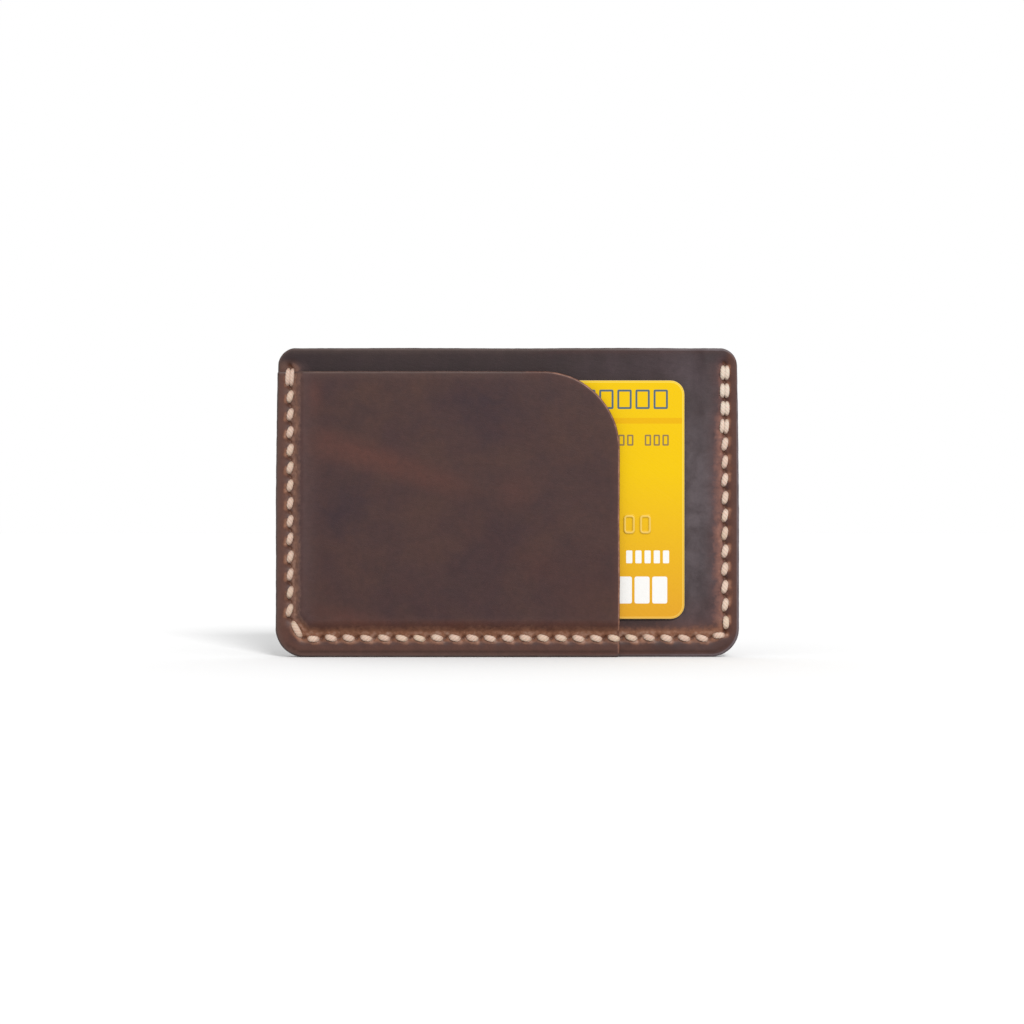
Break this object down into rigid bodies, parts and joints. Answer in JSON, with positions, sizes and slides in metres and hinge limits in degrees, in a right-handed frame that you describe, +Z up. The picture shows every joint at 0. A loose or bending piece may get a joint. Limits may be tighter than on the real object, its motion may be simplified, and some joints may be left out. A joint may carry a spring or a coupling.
{
  "type": "minimalist card wallet",
  "caption": "Slim saddle-stitched leather card wallet with a central pocket and a front card pocket cut with a round thumb corner, holding a plain yellow payment card that slides out.",
  "frame": {"origin": "centre of the bottom edge, midway through the wallet's thickness", "axes": "+X along the card, to the right as seen from the front; +Y towards the back; +Z up, towards the pocket mouths"},
  "size_m": [0.105, 0.007, 0.07],
  "materials": {
    "pull_up_leather": "waxed pull-up leather, dark brown, satin, lighter and redder where it is bent",
    "waxed_thread": "cream braided thread, waxed",
    "card_plastic": "glossy yellow laminate",
    "chip_contacts": "gold plated contact pads",
    "chip_potting": "black epoxy",
    "magnetic_stripe": "satin black film",
    "signature_panel": "matte off-white film"
  },
  "bodies": {
    "wallet": {"front_pocket_panel": "pull_up_leather", "centre_panel": "pull_up_leather", "back_panel": "pull_up_leather", "seam_thread": "waxed_thread"},
    "card": {"card_body": "card_plastic", "card_chip_contacts": "chip_contacts", "card_chip_potting": "chip_potting", "card_magnetic_stripe": "magnetic_stripe", "card_signature_panel": "signature_panel"}
  },
  "joints": [
    {"name": "card_slide", "type": "slide", "parent": "wallet", "child": "card", "axis": [0, 0, 1], "range_m": [0, 0.062]}
  ]
}
